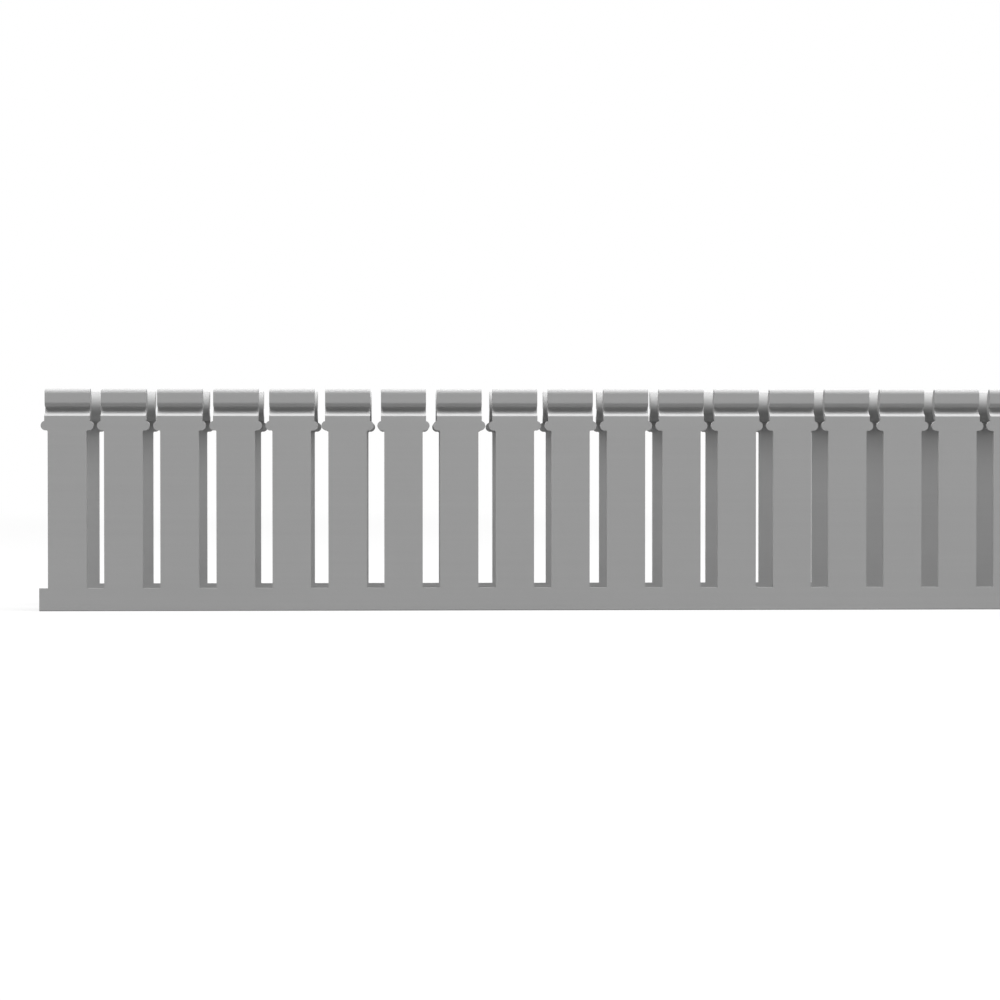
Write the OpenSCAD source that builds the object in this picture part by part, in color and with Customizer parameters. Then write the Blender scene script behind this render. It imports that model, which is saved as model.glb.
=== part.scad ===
// Slotted wire duct, base only: a channel extrusion with punched fingers.
// Millimetres, +Z up, the duct runs along X and lies on its floor.

/* [Duct] */
// Length of the piece, as sold
length = 500; // [100:12.5:500]
// Outside width over both walls
width = 25; // [20:0.5:60]
// Height of the base from its underside to the tip of a finger
height = 49.7; // [36.7:0.5:79.7]
// Thickness of the walls
wall = 1.1; // [0.9:0.1:1.6]
// Thickness of the floor
floor_plate = 1.5; // [1.2:0.1:2.5]
// Radius of the two long outer edges of the floor
edge_r = 0.2; // [0.1:0.1:0.8]

/* [Finger row] */
// Distance from one finger to the next
pitch = 12.5; // [10:0.5:16]
// Width of the slot between two fingers
slot = 3.9; // [3.2:0.1:5]
// Radius of the slot's two upper corners
slot_r = 0.3; // [0.1:0.05:0.4]
// Height of the unbroken rail below the slots
rail = 5.1; // [4:0.1:8]
// Width of the gap between two finger heads
mouth = 2.4; // [2:0.1:2.8]
// Narrowest gap, between the round ears that hold the wires in
ear_gap = 0.8; // [0.5:0.1:1.4]
// Radius of an ear's round nose
ear_r = 1.07; // [0.8:0.01:1.2]
// Height of an ear's centre below the finger's tip
ear_drop = 8.25; // [7.6:0.05:9]

/* [Finger head] */
// Set-back of the head's bead from the outer face
bead_set = 0.7; // [0.5:0.05:0.9]
// Radius of the head's round top
bead_r = 1; // [0.9:0.05:1.15]
// Radius of the bead's lower front edge
nose_r = 1; // [0.8:0.05:1.1]
// Underside of the bead at its front, below the finger's tip
nose_drop = 4.05; // [3.9:0.05:4.2]
// Depth of the head's bulge into the channel, from the outer face
belly = 3.9; // [3.8:0.05:4.1]
// Height of the bulge's deepest line, below the finger's tip
belly_drop = 3.3; // [3.2:0.05:3.4]
// Depth of the cover groove from the outer face
groove = 1.9; // [1.7:0.05:2]
// Radius of the groove's hollow back
groove_r = 1.6; // [1.4:0.05:1.7]
// Top of the plain outer face, below the finger's tip
face_drop = 6.1; // [6:0.05:6.5]
// Slope of the ledge behind the outer face, in degrees
ledge_slope = 24; // [14:1:30]

/* [Mounting slots] */
// Distance from one mounting slot to the next
mount_pitch = 50; // [25:12.5:50]
// Width of a mounting slot
mount_w = 5; // [4.2:0.1:6.5]
// Length of a mounting slot from end to end
mount_len = 10; // [8:0.5:14]

/* [Hidden] */
$fn = 64;
pvc = [0.6, 0.6, 0.6];
over = 1;                                   // how far a cutter passes the stock
bevel = 0.2;                                // run and rise between face and ledge
gaps = round(length / pitch);               // the two end ones are half gaps
mounts = floor(length / mount_pitch);

// All of a wall's section is in [u, z]: u is the depth from its outer face.
bead_at = [bead_set + bead_r, height - bead_r];
// the bulge is the arc that touches the line u = belly and the round top
belly_z = height - belly_drop;
reach = bead_at.x - belly;
rise = bead_at.y - belly_z;
belly_r = (bead_r ^ 2 - reach ^ 2 - rise ^ 2) / (2 * (reach + bead_r));
belly_at = [belly - belly_r, belly_z];
touch = belly_at + (bead_at - belly_at) * belly_r / (belly_r - bead_r);
join_z = belly_z - sqrt(belly_r ^ 2 - (wall - belly_at.x) ^ 2);
// the ledge runs up into the groove's hollow back without a step
face_z = height - face_drop;
ledge_z = face_z + bevel;
hollow_u = groove - groove_r;
hollow_at = [hollow_u,
    ledge_z + (hollow_u - bevel) * tan(ledge_slope) + groove_r / cos(ledge_slope)];
ledge_end = hollow_at + groove_r * [sin(ledge_slope), -cos(ledge_slope)];
nose_z = height - nose_drop;
nose_at = [bead_set + nose_r, nose_z + nose_r];
throat = hollow_u + sqrt(groove_r ^ 2 - (nose_z - hollow_at.y) ^ 2);
nose_end = min(nose_at.x, throat);          // where the bead's underside ends

// Plain wall with the head's bulge and round top, before the groove is cut.
module wall_blank() {
    polygon([
        [0, edge_r], [edge_r, 0], [wall, 0], [wall, join_z + over],
        [bevel, ledge_z], [0, face_z]
    ]);
    translate([edge_r, edge_r]) circle(edge_r);
    translate(bead_at) circle(bead_r);
    intersection() {
        translate(belly_at) circle(belly_r);
        polygon([
            [bevel, join_z - over], [wall, join_z - over], [wall, join_z],
            [belly + over, join_z], [belly + over, touch.y], touch, bead_at,
            [bead_set, bead_at.y], [bead_set, ledge_z + bead_set], [bevel, ledge_z]
        ]);
    }
}

// The groove that the cover's hook snaps into, open to the outside.
module groove_cut() {
    difference() {
        union() {
            polygon([
                [-over, ledge_z], [bevel, ledge_z], ledge_end, [ledge_end.x, nose_z],
                [nose_end, nose_z], [nose_end, nose_at.y], [-over, nose_at.y]
            ]);
            intersection() {
                translate(hollow_at) circle(groove_r);
                translate([-groove, ledge_z]) square([3 * groove, nose_z - ledge_z]);
            }
        }
        translate(nose_at) circle(nose_r);
    }
}

// One wall in section, its outer face on the Y axis.
module wall_section() {
    difference() {
        wall_blank();
        groove_cut();
    }
}

// The whole section, centred, standing on y = 0.
module section() {
    for (side = [0, 1])
        mirror([side, 0]) translate([-width / 2, 0]) wall_section();
    translate([edge_r - width / 2, 0]) square([width - 2 * edge_r, floor_plate]);
}

// Outline of what the punch takes out between two fingers.
module gap_outline() {
    ear_z = height - ear_drop;
    top = ear_z - ear_r;
    difference() {
        union() {
            translate([-slot / 2, rail]) square([slot, top - slot_r - rail]);
            translate([slot_r - slot / 2, rail]) square([slot - 2 * slot_r, top - rail]);
            for (side = [-1, 1])
                translate([side * (slot / 2 - slot_r), top - slot_r]) circle(slot_r);
            translate([-mouth / 2, top - over]) square([mouth, height - top + 2 * over]);
        }
        for (side = [-1, 1])
            translate([side * (ear_gap / 2 + ear_r), ear_z]) circle(ear_r);
    }
}

// Outline of one mounting slot in the floor.
module mount_outline() {
    half_run = (mount_len - mount_w) / 2;
    square([2 * half_run, mount_w], center = true);
    for (side = [-1, 1])
        translate([side * half_run, 0]) circle(d = mount_w);
}

module duct() {
    color(pvc)
    difference() {
        rotate([90, 0, 90])
            linear_extrude(length, center = true) section();
        for (i = [0 : gaps])
            translate([(i - gaps / 2) * pitch, 0, 0]) rotate([90, 0, 0])
                linear_extrude(width + 2 * over, center = true) gap_outline();
        for (i = [0 : mounts - 1])
            translate([(i - (mounts - 1) / 2) * mount_pitch, 0, -over])
                linear_extrude(floor_plate + 2 * over) mount_outline();
    }
}

duct();
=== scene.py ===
import math

import bpy
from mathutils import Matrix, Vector


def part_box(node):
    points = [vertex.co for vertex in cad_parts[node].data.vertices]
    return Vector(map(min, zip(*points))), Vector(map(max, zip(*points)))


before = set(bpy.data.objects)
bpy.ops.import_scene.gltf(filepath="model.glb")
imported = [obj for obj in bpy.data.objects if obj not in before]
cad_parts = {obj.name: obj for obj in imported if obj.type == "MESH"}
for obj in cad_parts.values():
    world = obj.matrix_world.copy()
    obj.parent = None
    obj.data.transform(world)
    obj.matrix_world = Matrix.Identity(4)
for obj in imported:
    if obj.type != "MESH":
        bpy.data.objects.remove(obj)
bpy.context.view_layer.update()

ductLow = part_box("duct")[0]
scene = bpy.context.scene


def makeMaterial(name):
    material = bpy.data.materials.new(name)
    material.use_nodes = True
    tree = material.node_tree
    tree.nodes.clear()
    return material, tree


def addNode(tree, kind, at, **values):
    node = tree.nodes.new(kind)
    node.location = at
    for key, value in values.items():
        setattr(node, key, value)
    return node


def link(tree, fromNode, output, toNode, socket):
    tree.links.new(fromNode.outputs[output], toNode.inputs[socket])


def addNoise(tree, at, scale, detail):
    noise = addNode(tree, "ShaderNodeTexNoise", at)
    noise.inputs["Scale"].default_value = scale
    noise.inputs["Detail"].default_value = detail
    return noise


# grey rigid PVC with faint streaks along the duct
pvc = {
    "grey": (0.30, 0.30, 0.30),
    "streakGrey": (0.31, 0.31, 0.31),
    "roughness": 0.55,
    "roughnessSpread": 0.10,
    "streaksPerMetre": (6, 900, 900),  # drawn out along the extrusion
    "streakDetail": 3,
    "grainPerMetre": 2600,
    "grainDetail": 2,
    "cloudsPerMetre": 38,
    "cloudDetail": 4,
    "toneRange": (0.7, 1.3),  # sum of clouds and streaks that turns grey to streakGrey
    "bumpHeight": 0.00002,
    "bumpStrength": 0.5,
    "specular": 0.15,
}


def pvcMaterial():
    material, tree = makeMaterial("pvc")
    coords = addNode(tree, "ShaderNodeTexCoord", (-1100, 0))
    stretch = addNode(tree, "ShaderNodeMapping", (-900, 0))
    stretch.inputs["Scale"].default_value = pvc["streaksPerMetre"]
    streaks = addNoise(tree, (-700, 120), 1, pvc["streakDetail"])  # stretch sets its scale
    grain = addNoise(tree, (-700, -160), pvc["grainPerMetre"], pvc["grainDetail"])
    clouds = addNoise(tree, (-700, 400), pvc["cloudsPerMetre"], pvc["cloudDetail"])
    blend = addNode(tree, "ShaderNodeMath", (-500, 250), operation="ADD")
    tone = addNode(tree, "ShaderNodeMapRange", (-330, 250))
    tone.inputs["From Min"].default_value, tone.inputs["From Max"].default_value = pvc["toneRange"]
    colour = addNode(tree, "ShaderNodeMix", (-120, 250), data_type="RGBA")
    colour.inputs["A"].default_value = (*pvc["grey"], 1)
    colour.inputs["B"].default_value = (*pvc["streakGrey"], 1)
    gloss = addNode(tree, "ShaderNodeMapRange", (-330, 0))
    gloss.inputs["To Min"].default_value = pvc["roughness"] - pvc["roughnessSpread"] / 2
    gloss.inputs["To Max"].default_value = pvc["roughness"] + pvc["roughnessSpread"] / 2
    relief = addNode(tree, "ShaderNodeMath", (-500, -160), operation="ADD")
    bump = addNode(tree, "ShaderNodeBump", (-330, -200))
    bump.inputs["Strength"].default_value = pvc["bumpStrength"]
    bump.inputs["Distance"].default_value = pvc["bumpHeight"]
    plastic = addNode(tree, "ShaderNodeBsdfPrincipled", (120, 100))
    plastic.inputs["Specular IOR Level"].default_value = pvc["specular"]
    output = addNode(tree, "ShaderNodeOutputMaterial", (400, 100))
    link(tree, coords, "Object", stretch, "Vector")
    link(tree, stretch, "Vector", streaks, "Vector")
    link(tree, coords, "Object", grain, "Vector")
    link(tree, coords, "Object", clouds, "Vector")
    link(tree, clouds, 0, blend, 0)
    link(tree, streaks, 0, blend, 1)
    link(tree, blend, 0, tone, "Value")
    link(tree, tone, "Result", colour, "Factor")
    link(tree, streaks, 0, gloss, "Value")
    link(tree, streaks, 0, relief, 0)
    link(tree, grain, 0, relief, 1)
    link(tree, relief, 0, bump, "Height")
    link(tree, colour, "Result", plastic, "Base Color")
    link(tree, gloss, "Result", plastic, "Roughness")
    link(tree, bump, "Normal", plastic, "Normal")
    link(tree, plastic, "BSDF", output, "Surface")
    return material


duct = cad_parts["duct"]
duct.material_slots[0].material = pvcMaterial()
print("duct: pvc material on", len(duct.data.polygons), "faces")


# floor and surroundings look white, and throw back only a grey's light onto the duct
studio = {
    "floorSize": 8.0,
    "floorColour": (0.31, 0.31, 0.31),
    "seenColour": (0.41, 0.41, 0.41),
    "glowNear": 0.65,         # share of plain white in the floor as it is seen
    "glowFar": 1.0,
    "fade": (0.35, 1.3),      # distances from the duct's middle, metres
    "skyLight": 0.06,
}


# 1 on what the camera sees, straight or by way of gloss or glass, and 0 on other light
def addSeenMask(tree):
    path = addNode(tree, "ShaderNodeLightPath", (-600, 400))
    straight = addNode(tree, "ShaderNodeMath", (-400, 400), operation="MAXIMUM")
    mask = addNode(tree, "ShaderNodeMath", (-240, 400), operation="MAXIMUM")
    link(tree, path, "Is Camera Ray", straight, 0)
    link(tree, path, "Is Glossy Ray", straight, 1)
    link(tree, straight, 0, mask, 0)
    link(tree, path, "Is Transmission Ray", mask, 1)
    return mask


def floorMaterial():
    material, tree = makeMaterial("floorWhite")
    mask = addSeenMask(tree)
    coords = addNode(tree, "ShaderNodeTexCoord", (-600, -200))
    away = addNode(tree, "ShaderNodeVectorMath", (-400, -200), operation="LENGTH")
    fade = addNode(tree, "ShaderNodeMapRange", (-240, -200), interpolation_type="SMOOTHSTEP")
    fade.inputs["From Min"].default_value, fade.inputs["From Max"].default_value = studio["fade"]
    fade.inputs["To Min"].default_value = studio["glowNear"]
    fade.inputs["To Max"].default_value = studio["glowFar"]
    matt = addNode(tree, "ShaderNodeBsdfDiffuse", (-80, 200))
    matt.inputs["Color"].default_value = (*studio["floorColour"], 1)
    seenMatt = addNode(tree, "ShaderNodeBsdfDiffuse", (-80, 60))
    seenMatt.inputs["Color"].default_value = (*studio["seenColour"], 1)
    glow = addNode(tree, "ShaderNodeEmission", (-80, -80))
    pale = addNode(tree, "ShaderNodeMixShader", (140, 0))
    mix = addNode(tree, "ShaderNodeMixShader", (340, 200))
    output = addNode(tree, "ShaderNodeOutputMaterial", (540, 200))
    link(tree, coords, "Object", away, 0)
    link(tree, away, "Value", fade, "Value")
    link(tree, fade, "Result", pale, 0)
    link(tree, seenMatt, 0, pale, 1)
    link(tree, glow, 0, pale, 2)
    link(tree, mask, 0, mix, 0)
    link(tree, matt, 0, mix, 1)
    link(tree, pale, 0, mix, 2)
    link(tree, mix, 0, output, "Surface")
    return material


def whiteWorld():
    world = bpy.data.worlds.new("studio")
    world.use_nodes = True
    tree = world.node_tree
    tree.nodes.clear()
    mask = addSeenMask(tree)
    ambient = addNode(tree, "ShaderNodeBackground", (-80, 60))
    ambient.inputs["Color"].default_value = (1, 1, 1, 1)
    ambient.inputs["Strength"].default_value = studio["skyLight"]
    white = addNode(tree, "ShaderNodeBackground", (-80, -80))
    white.inputs["Color"].default_value = (1, 1, 1, 1)
    mix = addNode(tree, "ShaderNodeMixShader", (140, 100))
    output = addNode(tree, "ShaderNodeOutputWorld", (340, 100))
    link(tree, mask, 0, mix, 0)
    link(tree, ambient, 0, mix, 1)
    link(tree, white, 0, mix, 2)
    link(tree, mix, 0, output, "Surface")
    return world


half = studio["floorSize"] / 2
corners = [(-half, -half, 0), (half, -half, 0), (half, half, 0), (-half, half, 0)]
floorMesh = bpy.data.meshes.new("floor")
floorMesh.from_pydata(corners, [], [(0, 1, 2, 3)])
floor = bpy.data.objects.new("floor", floorMesh)
floorMesh.materials.append(floorMaterial())
scene.collection.objects.link(floor)
scene.world = whiteWorld()
print("floor and surroundings done")


# long soft panels, all aimed at the middle of the duct's underside
lamps = {
    "distance": 2.0,          # metres from there to each panel
    "size": (3.5, 0.53),
    "panels": {               # elevation from the near side in degrees, watts
        "overhead": (83, 80),
        "high": (68, 48),
        "front": (53, 8),
        "behind": (128, 28),
    },
}


def addLamp(name, elevation, power):
    data = bpy.data.lights.new(name, "AREA")
    data.shape = "RECTANGLE"
    data.size, data.size_y = lamps["size"]
    data.energy = power
    lamp = bpy.data.objects.new(name, data)
    angle = math.radians(elevation)
    lamp.location = lamps["distance"] * Vector((0, -math.cos(angle), math.sin(angle)))
    lamp.rotation_euler = lamp.location.to_track_quat("Z", "Y").to_euler()
    scene.collection.objects.link(lamp)


for name, (elevation, power) in lamps["panels"].items():
    addLamp(name, elevation, power)
print("lamps:", len(lamps["panels"]))


# camera, nearly square to the near wall
view = {
    "fromLeftEnd": 0.0822,    # metres along the duct, where the camera stands
    "distance": 0.588,        # from the near wall's outer face
    "height": 0.0329,
    "turn": 2.015,            # degrees to the right
    "dip": 0.79,              # degrees below level
    "lens": 94.4,             # millimetres, as the sensor's width
    "sensorWidth": 36,
    "clipStart": 0.01,
}
cameraData = bpy.data.cameras.new("camera")
cameraData.lens = view["lens"]
cameraData.sensor_width = view["sensorWidth"]
cameraData.clip_start = view["clipStart"]
camera = bpy.data.objects.new("camera", cameraData)
camera.location = (
    ductLow.x + view["fromLeftEnd"],
    ductLow.y - view["distance"],
    ductLow.z + view["height"],
)
camera.rotation_euler = (math.radians(90 - view["dip"]), 0, math.radians(-view["turn"]))
scene.collection.objects.link(camera)
scene.camera = camera
scene.view_settings.view_transform = "Standard"
print("camera:", view["lens"], "mm lens")
